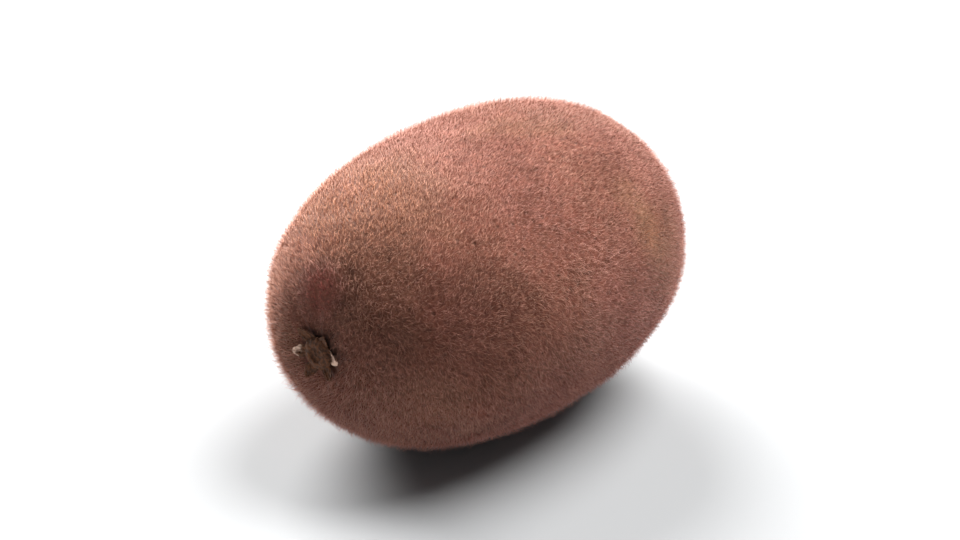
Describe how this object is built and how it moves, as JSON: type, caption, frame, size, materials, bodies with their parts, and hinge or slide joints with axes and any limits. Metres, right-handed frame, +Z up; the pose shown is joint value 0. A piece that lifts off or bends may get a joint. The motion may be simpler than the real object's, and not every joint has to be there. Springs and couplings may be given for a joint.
{
  "type": "kiwi fruit",
  "caption": "Whole kiwi fruit lying on its side: a blunt brown oval with short fuzz, dried sepals at the stem end and dried style stubs at the blossom end.",
  "frame": {"origin": "on the surface that the fruit lies on, under the middle of its box", "axes": "+X along the fruit's long axis, from the stem end to the blossom end; +Z up"},
  "size_m": [0.0744, 0.0502, 0.0469],
  "materials": {
    "skin": "matt brown skin under short velvety hairs",
    "dried_calyx": "dry, dark, woody",
    "dried_styles": "dry, dark, woody"
  },
  "bodies": {
    "root": {"fruit": "skin", "calyx": "dried_calyx", "styles": "dried_styles"}
  },
  "joints": []
}
